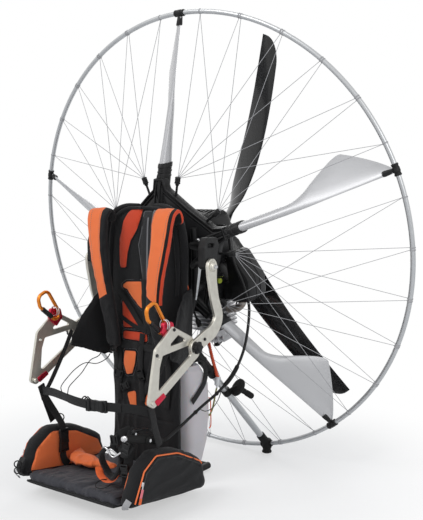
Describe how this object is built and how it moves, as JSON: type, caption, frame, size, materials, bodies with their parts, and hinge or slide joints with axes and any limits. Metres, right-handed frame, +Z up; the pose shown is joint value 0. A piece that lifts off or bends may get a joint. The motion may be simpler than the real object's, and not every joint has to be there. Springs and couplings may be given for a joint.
{
  "type": "paramotor",
  "caption": "Foot-launched paramotor with a round hoop cage on twisted arms, an open engine, a black propeller and a harness with a folding seat.",
  "frame": {"origin": "middle of the footprint, on the floor", "axes": "+X to the pilot's left, +Y behind the pilot, +Z up"},
  "size_m": [1.4132, 0.8124, 1.3995],
  "materials": {
    "satin_silver": "satin",
    "arm_silver": "satin",
    "moulded_black": "semi-gloss",
    "blade_black": "gloss",
    "rubber": "matte",
    "cast_metal": "as cast",
    "engine_case": "satin",
    "machined": "machined",
    "red_anodised": "anodised",
    "amber_anodised": "anodised",
    "black_fabric": "woven",
    "orange_fabric": "woven",
    "webbing": "woven",
    "tank_plastic": "translucent"
  },
  "bodies": {
    "chassis": {"hoop_section_1": "satin_silver", "cage_arm_1": "arm_silver", "hoop_section_2": "satin_silver", "cage_arm_2": "arm_silver", "hoop_section_3": "satin_silver", "cage_arm_3": "arm_silver", "hoop_section_4": "satin_silver", "cage_arm_4": "arm_silver", "hoop_section_5": "satin_silver", "cage_arm_5": "arm_silver", "star_frame": "moulded_black", "frame_rails": "moulded_black", "airbox": "moulded_black", "silencer": "moulded_black", "crankcase": "engine_case", "engine_mount": "engine_case", "reduction_drive": "engine_case", "starter_motor": "engine_case", "cylinder": "cast_metal", "cylinder_head": "cast_metal", "exhaust_header": "cast_metal", "carburettor": "cast_metal", "leg_left": "satin_silver", "leg_right": "satin_silver", "fuel_tank": "tank_plastic", "tank_cap": "rubber", "fuel_primer": "rubber", "backrest": "black_fabric", "seat": "black_fabric", "waist_strap": "webbing", "throttle_handle": "rubber", "throttle_cable": "rubber", "hip_wing_left": "black_fabric", "side_pocket_left": "black_fabric", "shoulder_strap_left": "orange_fabric", "hang_web_left": "webbing", "hip_wing_right": "black_fabric", "side_pocket_right": "black_fabric", "shoulder_strap_right": "orange_fabric", "hang_web_right": "webbing"},
    "propeller": {"prop_hub": "blade_black", "prop_blade_1": "blade_black", "prop_blade_2": "blade_black", "prop_blade_3": "blade_black"},
    "arm_left": {"swing_arm_left": "machined", "hang_bracket_left": "machined", "riser_hook_left": "red_anodised", "carabiner_left": "amber_anodised"},
    "arm_right": {"swing_arm_right": "machined", "hang_bracket_right": "machined", "riser_hook_right": "red_anodised", "carabiner_right": "amber_anodised"}
  },
  "joints": [
    {"name": "prop_spin", "type": "hinge", "parent": "chassis", "child": "propeller", "pos_m": [0, 0.31328, 0.71947], "axis": [0, 0.9837, 0.18], "continuous": true},
    {"name": "arm_swing_left", "type": "hinge", "parent": "chassis", "child": "arm_left", "pos_m": [0.2315, -0.071, 0.648], "axis": [-1, 0, 0], "range_deg": [0, 40]},
    {"name": "arm_swing_right", "type": "hinge", "parent": "chassis", "child": "arm_right", "pos_m": [-0.2315, -0.071, 0.648], "axis": [-1, 0, 0], "range_deg": [0, 40]}
  ]
}
